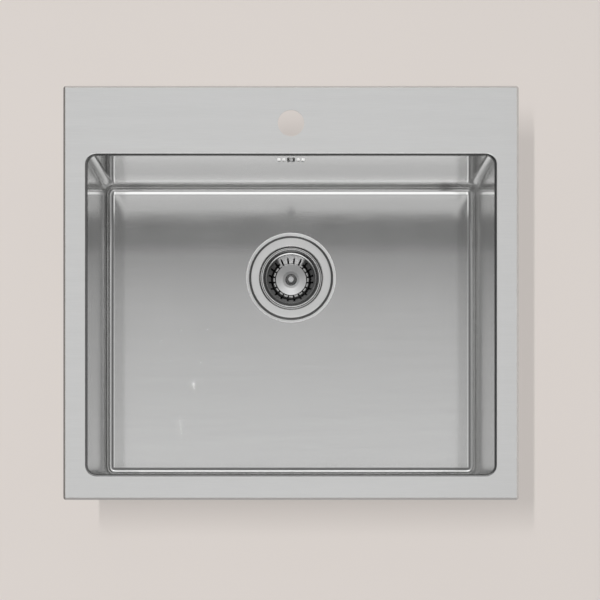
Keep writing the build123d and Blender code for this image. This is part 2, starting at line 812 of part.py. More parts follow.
# Overflow gasket and housing behind the slots, in planes that face the rear
frame_width = slot_pitch * (2 * slots_each_side - 1) + slot_width + 2 * overflow_slot_margin
frame_height = slot_height_middle + 2 * overflow_slot_margin
housing_width = frame_width + 2 * overflow_frame
housing_height = frame_height + 2 * overflow_frame
hose_y = rear_outside + hose_gap + hose_radius
housing_low = overflow_z - housing_height / 2


def behind(distance):
    """The plane behind the rear wall's outside, facing the rear, centred on the slots."""
    at = (0, rear_outside + distance, overflow_z)
    return Plane(origin=at, x_dir=(-1, 0, 0), z_dir=(0, 1, 0))


with BuildPart() as overflow_gasket:
    with BuildSketch(behind(0)):
        RectangleRounded(housing_width, housing_height, housing_corner_radius)
        Rectangle(frame_width, frame_height, mode=Mode.SUBTRACT)
    extrude(amount=overflow_gasket_thickness)
save(overflow_gasket, "overflow_gasket")

channel_depth = housing_depth - housing_back
well_top = housing_low + housing_well_height
with BuildPart() as housing:
    with BuildSketch(behind(overflow_gasket_thickness)):
        RectangleRounded(housing_width, housing_height, housing_corner_radius)
    extrude(amount=housing_depth)
    with BuildSketch(Plane.XY.offset(housing_low)):
        with Locations((0, hose_y)):
            Circle(housing_well_radius)
    extrude(amount=housing_well_height)
    with BuildSketch(behind(overflow_gasket_thickness)):
        Rectangle(frame_width, frame_height)
    extrude(amount=housing_tray_depth, mode=Mode.SUBTRACT)
    with BuildSketch(behind(overflow_gasket_thickness)):
        Rectangle(channel_width, frame_height)
    extrude(amount=channel_depth, mode=Mode.SUBTRACT)
    with BuildSketch(Plane.XY.offset(housing_low)):
        with Locations((0, hose_y)):
            Circle(spigot_radius)
    extrude(amount=-spigot_length)
    with BuildSketch(Plane.XY.offset(housing_low - spigot_length)):
        with Locations((0, hose_y)):
            Circle(spigot_bore_radius)
    bore_height = spigot_length + housing_well_height - housing_back
    extrude(amount=bore_height, mode=Mode.SUBTRACT)
    with BuildSketch(behind(post_gap)):
        Circle(post_radius)
    extrude(amount=overflow_gasket_thickness + channel_depth - post_gap)
    with BuildSketch(behind(post_gap)):
        Circle(overflow_screw_radius + pilot_clearance)
    extrude(amount=overflow_screw_length - sheet, mode=Mode.SUBTRACT)
save(housing, "overflow_housing")

screw_plane = Plane(origin=(0, bowl_rear, overflow_z), x_dir=(-1, 0, 0), z_dir=(0, 1, 0))
with BuildPart() as overflow_screw:
    with BuildSketch(screw_plane):
        Circle(overflow_screw_radius)
    extrude(amount=overflow_screw_length)
    with BuildSketch(screw_plane):
        Circle(overflow_screw_head_radius)
    extrude(amount=-overflow_screw_head_height)
    head_rim = overflow_screw.edges().group_by(Axis.Y)[0]
    fillet(head_rim, overflow_screw_head_round)
save(overflow_screw, "overflow_screw")

# Overflow hose: straight down behind the wall, one bend, then forwards to the inlet
hose_top = housing_low
hose_low = floor_z + inlet_depth
hose_end = inlet_end + hose_seal_thickness
hose_plane = Plane(origin=(0, 0, 0), x_dir=(0, 1, 0), z_dir=(1, 0, 0))
with BuildPart() as hose:
    with BuildLine(hose_plane) as hose_path:
        FilletPolyline(
            (hose_y, hose_top), (hose_y, hose_low), (hose_end, hose_low), radius=hose_bend_radius
        )
    with BuildSketch(Plane.XY.offset(hose_top).shift_origin((0, hose_y, hose_top))):
        Circle(hose_radius)
        Circle(hose_bore_radius, mode=Mode.SUBTRACT)
    sweep(path=hose_path.wires()[0])
    with BuildSketch(inlet_plane.offset(hose_seal_thickness)):
        Circle(cuff_radius)
        Circle(hose_bore_radius, mode=Mode.SUBTRACT)
    extrude(amount=cuff_length)
save(hose, "overflow_hose")
print("hose length", round(hose_path.wires()[0].length, 1), "bend radius", hose_bend_radius)

with BuildPart() as hose_seal:
    with BuildSketch(inlet_plane):
        Circle(cuff_radius - hose_seal_margin)
        Circle(inlet_bore_radius, mode=Mode.SUBTRACT)
    extrude(amount=hose_seal_thickness)
save(hose_seal, "hose_seal")

nut_bore_radius = inlet_radius + nut_clearance
nut_inner_length = nut_overlap + hose_seal_thickness + cuff_length + nut_clearance
with BuildPart() as nut:
    with BuildSketch(inlet_plane.offset(-nut_overlap)):
        Circle(nut_radius)
        with PolarLocations(nut_radius, nut_grips):
            Circle(nut_grip_radius, mode=Mode.SUBTRACT)
    extrude(amount=nut_inner_length + nut_end)
    with BuildSketch(inlet_plane.offset(-nut_overlap)):
        Circle(nut_bore_radius)
    extrude(amount=nut_inner_length, mode=Mode.SUBTRACT)
    with BuildSketch(inlet_plane.offset(-nut_overlap)):
        Circle(hose_radius + nut_hose_clearance)
    extrude(amount=nut_inner_length + nut_end, mode=Mode.SUBTRACT)
save(nut, "hose_nut")

# Steel band round the hose's top, with its screw at one side
band_inner = hose_radius + band_clearance
band_outer = band_inner + band_thickness
band_low = hose_top - band_inset - band_height
with BuildPart() as band:
    with BuildSketch(Plane.XY.offset(band_low)):
        with Locations((0, hose_y)):
            Circle(band_outer)
    extrude(amount=band_height)
    screw_side = Plane(
        origin=(band_outer + band_screw_radius / 2, hose_y, band_low + band_height / 2),
        x_dir=(1, 0, 0),
        z_dir=(0, 1, 0),
    )
    with BuildSketch(screw_side):
        Circle(band_screw_radius)
    extrude(amount=band_screw_length / 2, both=True)
    with BuildSketch(Plane.XY.offset(band_low)):
        with Locations((0, hose_y)):
            Circle(band_inner)
    extrude(amount=band_height, mode=Mode.SUBTRACT)
save(band, "hose_band")
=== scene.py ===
import json
import math

import bpy
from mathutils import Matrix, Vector


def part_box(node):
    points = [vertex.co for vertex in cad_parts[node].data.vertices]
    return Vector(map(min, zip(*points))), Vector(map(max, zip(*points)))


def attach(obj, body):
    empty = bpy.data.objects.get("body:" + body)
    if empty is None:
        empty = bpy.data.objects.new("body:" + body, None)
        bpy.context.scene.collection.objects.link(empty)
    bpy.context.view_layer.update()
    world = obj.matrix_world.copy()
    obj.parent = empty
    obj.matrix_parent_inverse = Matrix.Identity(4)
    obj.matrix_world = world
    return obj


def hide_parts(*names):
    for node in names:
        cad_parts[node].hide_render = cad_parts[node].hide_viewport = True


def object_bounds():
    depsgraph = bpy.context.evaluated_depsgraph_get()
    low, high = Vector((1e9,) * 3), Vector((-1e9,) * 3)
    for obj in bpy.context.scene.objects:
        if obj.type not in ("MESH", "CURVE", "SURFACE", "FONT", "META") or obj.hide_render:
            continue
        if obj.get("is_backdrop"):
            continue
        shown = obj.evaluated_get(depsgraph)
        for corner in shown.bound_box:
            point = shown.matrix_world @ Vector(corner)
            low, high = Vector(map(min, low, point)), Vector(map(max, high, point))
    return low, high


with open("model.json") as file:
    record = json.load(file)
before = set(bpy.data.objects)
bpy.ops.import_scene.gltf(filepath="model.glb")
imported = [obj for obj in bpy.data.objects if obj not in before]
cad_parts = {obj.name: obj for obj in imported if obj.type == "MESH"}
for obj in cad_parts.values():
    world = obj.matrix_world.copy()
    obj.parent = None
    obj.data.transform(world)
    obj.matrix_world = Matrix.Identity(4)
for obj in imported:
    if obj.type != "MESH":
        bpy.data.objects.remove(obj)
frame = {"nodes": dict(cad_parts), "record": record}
low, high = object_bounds()
nodes = frame["nodes"]
scene = bpy.context.scene

# Places that the looks share with the solids, in metres
STAGE_GAP = 0.004
STAGE_LEVEL = low.z - STAGE_GAP
DECK_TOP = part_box("deck")[1].z
BOWL_LOW, BOWL_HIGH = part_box("bowl")
FLANGE_LOW, FLANGE_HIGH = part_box("waste_flange")
HOUSING_LOW, HOUSING_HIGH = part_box("overflow_housing")
HOSE_LOW, HOSE_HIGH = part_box("overflow_hose")

# The bowl's mouth, a rounded rectangle at the outer edge of the turned-down rim: its middle, the
# half size between the centres of its corners, and the radius of those
SHEET = 0.001
ROLL = 0.0031
MOUTH_CORNER = 0.014
MOUTH_MIDDLE = tuple((BOWL_LOW + BOWL_HIGH) / 2)
MOUTH_STRAIGHT = tuple(
    (BOWL_HIGH - BOWL_LOW) / 2 + Vector((ROLL - 2 * SHEET - MOUTH_CORNER,) * 3)
)
# Painted shade: the tone of the dark band where the deck turns down into the mouth
MOUTH_PAINTED_SHADE = 0.24
# Painted shade: the tone of the dark bevel on the deck's left side, the side turned from the light
LEFT_BEVEL_PAINTED_SHADE = 0.45

# Painted shade on the bowl's floor, darker at the rear strip and over the rear half, and painted
# light on the walls' lower half; from where to where each fades in: Y on the floor, Z on the walls
REAR_EDGE, REAR_EDGE_SHADE = (BOWL_HIGH.y - 0.046, BOWL_HIGH.y - 0.032), 0.62
REAR_HALF, REAR_HALF_SHADE = (BOWL_HIGH.y - 0.096, BOWL_HIGH.y - 0.072), 0.8
# Painted light: the walls' lower half is brightened by this gain
LOWER_WALL_LIGHT, LOWER_WALL_LIGHT_GAIN = (BOWL_LOW.z + 0.098, BOWL_LOW.z + 0.055), 1.18

# Radii round the waste's axis, and the tones that lie there: rings of painted shade, a painted
# highlight fan on the basket's rear side and painted shade on the dome that darkens towards the
# rear
WASTE_AXIS = tuple((FLANGE_LOW + FLANGE_HIGH) / 2)
FLANGE_RADIUS = FLANGE_HIGH.x - WASTE_AXIS[0]
RING_RADIUS = FLANGE_RADIUS + 0.004
RING_WIDTH = 0.0035
LAND_RADIUS = 0.0378
# Rings of painted shade as (from radius, to radius, tone): round the knob's foot, in the gap at the
# basket's rim, and the dark line at the flange's edge and beyond
PAINTED_SHADE_RINGS = (
    (0.0036, 0.0076, 0.35),
    (0.0342, LAND_RADIUS, 0.3),
    (FLANGE_RADIUS - 0.0026, 0.07, 0.12),
)
# Painted highlight: the pale colour of the fan on the basket's steep rear side, also the base of
# the dome's painted shade; then the fan's radius, where it fades in, and its metallic
PAINTED_LIGHT_PALE = (0.98, 0.98, 0.98, 1)
FAN_RADIUS = 0.032
FAN_EDGES = (0.78, 0.86)
FAN_METALLIC = 0.15
# The dome's radii, its painted shade from front to rear, and its metallic
DOME = (0.0078, 0.0205)
DOME_PAINTED_SHADE = (0.9, 0.42)
DOME_METALLIC = 0.45

# The overflow housing: its wall, half the width of its middle, the tone of the painted shadow
# there, and the strength of the painted glow at its sides
HOUSING_WALL = 0.0008
HOUSING_MIDDLE = 0.0072
HOUSING_SHADOW = 0.04
HOUSING_PAINTED_GLOW = 0.5
TOUCHING = 1e-5

# Colours, and finishes as (colour, roughness, metallic)
WHITE = (1, 1, 1, 1)
STEEL = (0.70, 0.70, 0.695, 1)
STEEL_METALLIC = 0.9
DECK_LAND = ((0.64, 0.64, 0.635, 1), 0.55, 0.4)
# Painted highlight: a pale, duller ring on the recess's slope round the waste
PRESSED_RING_HIGHLIGHT = ((0.86, 0.86, 0.855, 1), 0.45, 0.15)
BRIGHT_STEEL = (0.72, 0.72, 0.715, 1)
FLANGE_LAND = (BRIGHT_STEEL, 0.42, 0.4)
CHROME = (0.80, 0.80, 0.805, 1)
CHROME_LAND = (CHROME, 0.06, 1.0)
WHITE_PLASTIC = {
    "colour": (0.74, 0.74, 0.72, 1),
    "worn": (0.60, 0.59, 0.56, 1),
    "rough": 0.38,
    "coat": 0.1,
    "glow": 0.25,
}


def linear(r, g, b):
    """An sRGB colour of 0 to 255 as the linear colour that a shader takes."""
    out = []
    for value in (r, g, b):
        c = value / 255
        out.append(c / 12.92 if c <= 0.04045 else ((c + 0.055) / 1.055) ** 2.4)
    return (*out, 1.0)


class Tree:
    """The nodes of a material or a world, each made and linked in one call."""

    def __init__(self, owner, output):
        owner.use_nodes = True
        self.owner = owner
        self.nodes = owner.node_tree.nodes
        self.links = owner.node_tree.links
        self.nodes.clear()
        self.out = self.nodes.new(output)

    def node(self, kind, inputs=None, **settings):
        made = self.nodes.new(kind)
        for key, value in settings.items():
            setattr(made, key, value)
        for key, value in (inputs or {}).items():
            if isinstance(value, bpy.types.NodeSocket):
                self.links.new(value, made.inputs[key])
            else:
                made.inputs[key].default_value = value
        return made

    def math(self, operation, a, b=0.0, clamp=False):
        made = self.node("ShaderNodeMath", {0: a, 1: b}, operation=operation, use_clamp=clamp)
        return made.outputs[0]

    def vector(self, operation, a, b=(0, 0, 0)):
        made = self.node("ShaderNodeVectorMath", {0: a, 1: b}, operation=operation)
        return made.outputs["Value" if operation in ("LENGTH", "DOT_PRODUCT") else 0]

    def finish(self, shader):
        """Shows the shader, and gives back the material or world."""
        self.links.new(shader.outputs[0], self.out.inputs["Surface"])
        return self.owner


def material(name):
    return Tree(bpy.data.materials.new(name), "ShaderNodeOutputMaterial")


def principled(t, inputs):
    return t.finish(t.node("ShaderNodeBsdfPrincipled", inputs))


def looks(t):
    """The place and the normal on a piece as it is at rest, whatever pose its body takes."""
    place = t.node("ShaderNodeTexCoord").outputs["Object"]
    normal = t.node("ShaderNodeNewGeometry").outputs["Normal"]
    return place, normal


def parts(t, vector):
    """The X, Y and Z of a vector."""
    return t.node("ShaderNodeSeparateXYZ", {0: vector}).outputs


def noise(t, place, scale, detail=3.0, rough=0.5):
    inputs = {"Vector": place, "Scale": scale, "Detail": detail, "Roughness": rough}
    return t.node("ShaderNodeTexNoise", inputs).outputs[0]


def streaks(t, u, v, detail, rough=0.5):
    """Noise that is drawn out: u and v are (value, how many times a metre)."""
    inputs = {0: t.math("MULTIPLY", *u), 1: t.math("MULTIPLY", *v)}
    return noise(t, t.node("ShaderNodeCombineXYZ", inputs).outputs[0], 1.0, detail, rough)


def spread(t, value, low, high, start=0.3, end=0.7):
    """The value's range from start to end, laid out from low to high."""
    return t.node("ShaderNodeMapRange", {0: value, 1: start, 2: end, 3: low, 4: high}).outputs[0]


def rise(t, value, start, end):
    """0 where the value is at start, 1 where it is at end, and an even slope between."""
    return spread(t, value, 0.0, 1.0, start, end)


def smooth(t, value, start, end):
    """0 where the value is at start, 1 where it is at end, and a soft edge between."""
    inputs = {0: value, 1: start, 2: end, 3: 0.0, 4: 1.0}
    return t.node("ShaderNodeMapRange", inputs, interpolation_type="SMOOTHSTEP").outputs[0]


def between(t, value, low, high):
    """1 where the value lies between the two limits, 0 elsewhere."""
    above, below = t.math("GREATER_THAN", value, low), t.math("LESS_THAN", value, high)
    return t.math("MULTIPLY", above, below)


def beyond(t, place, middle, reach, axes=(1, 1, 1)):
    """How far a place is outside a box with this middle and half size, along these axes."""
    away = t.vector("ABSOLUTE", t.vector("SUBTRACT", place, middle))
    over = t.vector("MAXIMUM", t.vector("SUBTRACT", away, reach))
    return t.vector("LENGTH", t.vector("MULTIPLY", over, axes))


def blend(t, share, first, second):
    """A mix of two colours, or of two numbers."""
    if isinstance(second, (tuple, bpy.types.NodeSocketVector, bpy.types.NodeSocketColor)):
        first, second = (v[:3] if isinstance(v, tuple) else v for v in (first, second))
        inputs = {0: share, 4: first, 5: second}
        return t.node("ShaderNodeMix", inputs, data_type="VECTOR").outputs[1]
    return t.node("ShaderNodeMix", {0: share, 2: first, 3: second}).outputs[0]


def scaled(t, colour, factor):
    """A colour times a number."""
    inputs = {0: colour[:3] if isinstance(colour, tuple) else colour, "Scale": factor}
    return t.node("ShaderNodeVectorMath", inputs, operation="SCALE").outputs[0]


def toned(t, shade, where, tone):
    """The shade, times the tone where the mask is 1."""
    return t.math("MULTIPLY", shade, blend(t, where, 1.0, tone))


def relief(t, height, strength, distance):
    inputs = {"Strength": strength, "Distance": distance, "Height": height}
    return t.node("ShaderNodeBump", inputs).outputs[0]


def level_grain(t, place, normal):
    """Along and across the brushing: level round the walls, along X on what faces up."""
    level = t.vector("CROSS_PRODUCT", (0, 0, 1), normal)
    walls = t.math("GREATER_THAN", t.vector("LENGTH", level), 0.2)
    along = t.vector("NORMALIZE", blend(t, walls, (1.0, 0.0, 0.0), level))
    across = t.vector("CROSS_PRODUCT", normal, along)
    return t.vector("DOT_PRODUCT", place, along), t.vector("DOT_PRODUCT", place, across), across


def ring_grain(t, place):
    """Round the waste's axis: across the rings of polishing, the way outwards and the radius."""
    offset = t.vector("MULTIPLY", t.vector("SUBTRACT", place, WASTE_AXIS), (1, 1, 0))
    radius = t.vector("LENGTH", offset)
    return t.math("ADD", radius, parts(t, place)[2]), t.vector("NORMALIZE", offset), radius


def brushed(name, rough, anisotropic, marks):
    """Brushed sheet steel: fine streaks along the grain, with faint long clouds and wipe marks.

    marks(t, look, place, normal) changes the look where one piece differs."""
    t = material(name)
    place, normal = looks(t)
    u, v, across = level_grain(t, place, normal)
    fine = streaks(t, (u, 25.0), (v, 2600.0), 4.0, 0.6)
    cloud = streaks(t, (u, 4.0), (v, 90.0), 2.0)
    smears = noise(t, place, 14.0, 3.0, 0.6)
    grain = spread(t, fine, rough - 0.015, rough + 0.015)
    look = {
        "tone": STEEL,
        "shade": t.math("ADD", spread(t, fine, 0.965, 1.035), spread(t, cloud, -0.012, 0.012)),
        "polish": t.math("ADD", grain, spread(t, smears, -0.008, 0.012)),
        "metal": STEEL_METALLIC,
        "smears": smears,
    }
    marks(t, look, place, normal)
    return principled(
        t,
        {
            "Base Color": scaled(t, look["tone"], look["shade"]),
            "Metallic": look["metal"],
            "Roughness": look["polish"],
            "Anisotropic": anisotropic,
            "Tangent": across,
            "Normal": relief(t, fine, 0.05, 0.0001),
        },
    )


def patched(t, look, where, tone, polish, metal):
    """Gives the look another tone, polish and metal where the mask is 1."""
    for key, value in (("tone", tone), ("polish", polish), ("metal", metal)):
        look[key] = blend(t, where, look[key], value)


def deck_satin_and_painted_shade(t, look, place, normal):
    """The satin land, and painted shade on the edge that turns down into the mouth and on the left
    bevel.
    """
    tone, rough, metal = DECK_LAND
    sideways, _, up = parts(t, normal)
    satin = t.math("ADD", spread(t, look["smears"], -0.03, 0.03), rough)
    patched(t, look, rise(t, up, 0.985, 0.998), tone, satin, metal)
    # Painted shade: a dark band inside the mouth's rounded rectangle, where the deck turns down
    outside = beyond(t, place, MOUTH_MIDDLE, MOUTH_STRAIGHT, (1, 1, 0))
    within = t.math("LESS_THAN", outside, MOUTH_CORNER)
    look["shade"] = toned(t, look["shade"], within, MOUTH_PAINTED_SHADE)
    # Painted shade on faces that lean to the left outside the mouth, the deck's left bevel
    bevel = t.math("SUBTRACT", t.math("LESS_THAN", sideways, -0.3), within, clamp=True)
    look["shade"] = toned(t, look["shade"], bevel, LEFT_BEVEL_PAINTED_SHADE)


def bowl_painted_shade_and_light(t, look, place, normal):
    """Painted shade on the floor's rear, painted light on the walls' lower half, and a painted
    highlight on the ring pressed round the waste.
    """
    _, y, z = parts(t, place)
    up = parts(t, normal)[2]
    level = t.math("GREATER_THAN", up, 0.995)
    steep = t.math("LESS_THAN", t.math("ABSOLUTE", up), 0.2)
    # Painted shade darkens the floor towards the rear wall in two steps, and painted light
    # brightens the walls' lower half
    for value, edges, facing, tone in (
        (y, REAR_EDGE, level, REAR_EDGE_SHADE / REAR_HALF_SHADE),
        (y, REAR_HALF, level, REAR_HALF_SHADE),
        (z, LOWER_WALL_LIGHT, steep, LOWER_WALL_LIGHT_GAIN),
    ):
        where = t.math("MULTIPLY", smooth(t, value, *edges), facing)
        look["shade"] = toned(t, look["shade"], where, tone)
    # Painted highlight on the slope of the ring pressed round the waste
    _, _, radius = ring_grain(t, place)
    ring = between(t, radius, RING_RADIUS - RING_WIDTH, RING_RADIUS)
    patched(t, look, t.math("MULTIPLY", ring, t.math("LESS_THAN", up, 0.99)), *PRESSED_RING_HIGHLIGHT)


def turned(name, colour, rough, land, wall):
    """Pressed and polished steel round the waste's axis: rings, soft stains and rings of painted
    shade at the edges.

    land is the finish of what faces straight up round the cup, and wall the tone of steep faces.
    The basket has a painted highlight fan on its rear side and a dome with painted shade, darker
    towards the rear."""
    t = material(name)
    place, normal = looks(t)
    across, outwards, radius = ring_grain(t, place)
    up, rearwards = parts(t, normal)[2], parts(t, outwards)[1]
    fine = streaks(t, (across, 1500.0), (0.0, 0.0), 3.0)
    stains = noise(t, place, 45.0, 4.0, 0.6)
    specks = noise(t, place, 900.0, 2.0)

    steep = rise(t, up, 0.75, 0.5)
    satin = t.math("MULTIPLY", rise(t, up, 0.9, 0.98), t.math("GREATER_THAN", radius, LAND_RADIUS))
    # Painted highlight: a pale fan on the basket's steep rear side
    fan = t.math("MULTIPLY", steep, t.math("LESS_THAN", radius, FAN_RADIUS))
    fan = t.math("MULTIPLY", fan, smooth(t, rearwards, *FAN_EDGES))
    # Painted shade on the dome: pale at the front, darker towards the rear
    dome = t.math("MULTIPLY", between(t, radius, *DOME), t.math("GREATER_THAN", up, 0.7))

    tone = blend(t, satin, blend(t, steep, colour, wall), land[0])
    tone = blend(t, fan, tone, PAINTED_LIGHT_PALE)
    tone = blend(t, dome, tone, scaled(t, PAINTED_LIGHT_PALE, spread(t, rearwards, *DOME_PAINTED_SHADE, -1.0, 1.0)))
    shade = t.math("ADD", spread(t, fine, 0.97, 1.03), spread(t, stains, -0.03, 0.02))
    # Rings of painted shade
    for start, end, ring_shade in PAINTED_SHADE_RINGS:
        shade = toned(t, shade, between(t, radius, start, end), ring_shade)
    metal = blend(t, fan, blend(t, satin, 1.0, land[2]), FAN_METALLIC)
    grain = spread(t, fine, rough - 0.01, rough + 0.02)
    polish = t.math("ADD", grain, spread(t, stains, 0.02, -0.01))
    dull = t.math("ADD", spread(t, stains, -0.03, 0.03), land[1])
    return principled(
        t,
        {
            "Base Color": scaled(t, tone, shade),
            "Metallic": blend(t, dome, metal, DOME_METALLIC),
            "Roughness": blend(t, t.math("MAXIMUM", satin, dome), polish, dull),
            "Anisotropic": 0.1,
            "Tangent": outwards,
            "Normal": relief(t, t.math("ADD", fine, spread(t, specks, 0.0, 0.3)), 0.04, 0.0001),
        },
    )


def plated(name, colour, tarnish, rough, spangle):
    """Plated or cast metal: crystal patches of two tones, stains, scratches and worn spots."""
    t = material(name)
    place, _ = looks(t)
    cells = t.node("ShaderNodeTexVoronoi", {"Vector": place, "Scale": spangle}, feature="F1")
    patch = parts(t, cells.outputs["Color"])[0]
    stains = noise(t, place, 70.0, 4.0, 0.6)
    scratches = noise(t, t.vector("MULTIPLY", place, (300.0, 2200.0, 900.0)), 1.0, 2.0)
    shade = t.math("ADD", spread(t, patch, 0.93, 1.05, 0.0, 1.0), spread(t, scratches, -0.05, 0.05))
    facets = spread(t, patch, -0.03, 0.03, 0.0, 1.0)
    return principled(
        t,
        {
            "Base Color": scaled(t, blend(t, rise(t, stains, 0.48, 0.66), colour, tarnish), shade),
            "Metallic": 1.0,
            "Roughness": t.math("ADD", spread(t, stains, rough - 0.05, rough + 0.1), facets),
            "Normal": relief(t, t.math("ADD", scratches, stains), 0.12, 0.0001),
        },
    )


def moulded(name, colour, worn, rough, coat=0.0, grainy=1200.0, depth=0.08, glow=0.0, more=None):
    """Moulded plastic or rubber: flow clouds, a fine skin grain, handling marks and a dull bloom.

    more(t, place, settings) changes the shader's settings for one piece alone."""
    t = material(name)
    place, _ = looks(t)
    clouds = noise(t, place, 22.0, 4.0, 0.6)
    marks = noise(t, t.vector("MULTIPLY", place, (60.0, 60.0, 240.0)), 1.0, 3.0, 0.65)
    skin = noise(t, place, grainy, 2.0)
    tone = blend(t, rise(t, marks, 0.5, 0.78), colour, worn)
    shade = t.math("ADD", spread(t, clouds, 0.95, 1.04), spread(t, skin, -0.02, 0.02))
    bloom = spread(t, marks, rough - 0.06, rough + 0.1)
    settings = {
        "Base Color": scaled(t, tone, shade),
        "Roughness": t.math("ADD", bloom, spread(t, skin, -0.03, 0.03)),
        "Coat Weight": coat,
        "Coat Roughness": 0.2,
        "Normal": relief(t, t.math("ADD", skin, spread(t, clouds, 0.0, 0.5)), depth, 0.0002),
    }
    if glow:
        settings["Subsurface Weight"] = glow
        settings["Subsurface Radius"] = (0.003, 0.003, 0.0026)
    if more:
        more(t, place, settings)
    return principled(t, settings)


def housing_inside(t, place, settings):
    """A painted glow at the sides inside, in place of light coming through the plastic, and a
    painted shadow in the middle.
    """
    middle = (HOUSING_LOW + HOUSING_HIGH) / 2
    reach = (HOUSING_HIGH - HOUSING_LOW) / 2 - Vector((HOUSING_WALL,) * 3)
    outside = beyond(t, place, tuple(middle), tuple(reach))
    inside = t.math("LESS_THAN", outside, TOUCHING)
    sideways = t.math("ABSOLUTE", t.math("SUBTRACT", parts(t, place)[0], middle.x))
    aside = t.math("GREATER_THAN", sideways, HOUSING_MIDDLE)
    # Painted shadow in the middle inside, and a painted glow at the sides
    shadow = t.math("SUBTRACT", inside, aside, clamp=True)
    shade = blend(t, shadow, 1.0, HOUSING_SHADOW)
    settings["Base Color"] = scaled(t, settings["Base Color"], shade)
    settings["Emission Color"] = WHITE
    lit = t.math("MULTIPLY", inside, aside)
    settings["Emission Strength"] = t.math("MULTIPLY", lit, HOUSING_PAINTED_GLOW)


def cellular(name, colour, worn):
    """Closed-cell foam strip: small open pores and compressed, duller patches."""
    t = material(name)
    place, _ = looks(t)
    inputs = {"Vector": place, "Scale": 1100.0, "Randomness": 1.0}
    pores = t.node("ShaderNodeTexVoronoi", inputs).outputs["Distance"]
    pits = rise(t, pores, 0.15, 0.6)
    pressed = noise(t, place, 30.0, 3.0)
    tone = blend(t, rise(t, pressed, 0.4, 0.7), colour, worn)
    return principled(
        t,
        {
            "Base Color": scaled(t, tone, spread(t, pits, 0.55, 1.1, 0.0, 1.0)),
            "Roughness": spread(t, pressed, 0.82, 0.98),
            "Normal": relief(t, pits, 0.4, 0.0003),
        },
    )


def embossed(name, colour, dust):
    """Heavy damping sheet: a pressed lozenge pattern, a dusty skin and rubbed ridges."""
    t = material(name)
    place, normal = looks(t)
    u, v, _ = level_grain(t, place, normal)
    first, second = (
        t.math("SINE", t.math("MULTIPLY", t.math(operation, u, v), 900.0))
        for operation in ("ADD", "SUBTRACT")
    )
    ridges = t.math("MAXIMUM", first, second)
    speck = noise(t, place, 1500.0, 3.0, 0.7)
    dusty = noise(t, place, 18.0, 4.0, 0.65)
    height = t.math("ADD", rise(t, ridges, 0.55, 0.95), spread(t, speck, 0.0, 0.25))
    tone = blend(t, spread(t, dusty, 0.05, 0.7, 0.42, 0.7), colour, dust)
    shade = t.math("ADD", spread(t, ridges, 0.9, 1.3, 0.5, 1.0), spread(t, speck, -0.12, 0.12))
    rubbed = spread(t, ridges, 0.0, 0.12, 0.5, 1.0)
    return principled(
        t,
        {
            "Base Color": scaled(t, tone, shade),
            "Roughness": t.math("SUBTRACT", spread(t, dusty, 0.68, 0.9), rubbed),
            "Normal": relief(t, height, 0.35, 0.0006),
        },
    )


def paper(name, colour, own, strength):
    """Studio paper: a share of its colour is its own light for rays that look at it."""
    t = material(name)
    path = t.node("ShaderNodeLightPath").outputs
    seen = t.math("MAXIMUM", path["Is Camera Ray"], path["Is Glossy Ray"])
    seen = t.math("MAXIMUM", seen, path["Is Transmission Ray"])
    sheet = t.node("ShaderNodeBsdfDiffuse", {"Color": colour, "Roughness": 0.3}).outputs[0]
    glow = t.node("ShaderNodeEmission", {"Color": colour, "Strength": strength}).outputs[0]
    share = t.math("MULTIPLY", seen, own)
    return t.finish(t.node("ShaderNodeMixShader", {0: share, 1: sheet, 2: glow}))


materials = {
    "steel_sheet": brushed("brushed sheet", 0.11, 0.75, bowl_painted_shade_and_light),
    "zinc_steel": plated(
        "zinc plated steel", (0.52, 0.54, 0.57, 1), (0.40, 0.42, 0.45, 1), 0.36, 260.0
    ),
    # Its steep faces take a near-black tone: painted shade on the basket's walls and the flange's
    # turned edge
    "polished_steel": turned(
        "polished steel", BRIGHT_STEEL, 0.13, FLANGE_LAND, (0.07, 0.07, 0.07, 1)
    ),
    "chrome_knob": turned("chrome", CHROME, 0.06, CHROME_LAND, (0.62, 0.62, 0.625, 1)),
    "seal_foam": cellular("foam strip", (0.030, 0.030, 0.031, 1), (0.055, 0.055, 0.055, 1)),
    "sound_pad": embossed("sound pad", (0.030, 0.030, 0.032, 1), (0.11, 0.105, 0.10, 1)),
    "black_rubber": moulded(
        "black rubber", (0.017, 0.017, 0.018, 1), (0.050, 0.050, 0.050, 1), 0.58, depth=0.12
    ),
    "black_plastic": moulded(
        "black plastic", (0.020, 0.020, 0.021, 1), (0.045, 0.045, 0.046, 1), 0.36, coat=0.2
    ),
    "white_plastic": moulded("white plastic", **WHITE_PLASTIC),
    "hose_plastic": moulded(
        "hose plastic", (0.58, 0.585, 0.58, 1), (0.46, 0.455, 0.44, 1), 0.44, grainy=800.0, glow=0.2
    ),
    "brass_insert": plated("brass", (0.78, 0.57, 0.27, 1), (0.52, 0.36, 0.17, 1), 0.28, 700.0),
}
OWN = {
    "deck": brushed("satin deck", 0.2, 0.3, deck_satin_and_painted_shade),
    "overflow_housing": moulded("housing plastic", **WHITE_PLASTIC, more=housing_inside),
}
slots = {part["node"]: part["material_slot"] for part in frame["record"]["subparts"]}
for name, item in nodes.items():
    item.data.materials.clear()
    item.data.materials.append(OWN.get(name) or materials[slots[name]])


def mesh_object(name, vertices, faces, look):
    mesh = bpy.data.meshes.new(name)
    mesh.from_pydata(vertices, [], faces)
    item = bpy.data.objects.new(name, mesh)
    scene.collection.objects.link(item)
    item.data.materials.append(look)
    return item


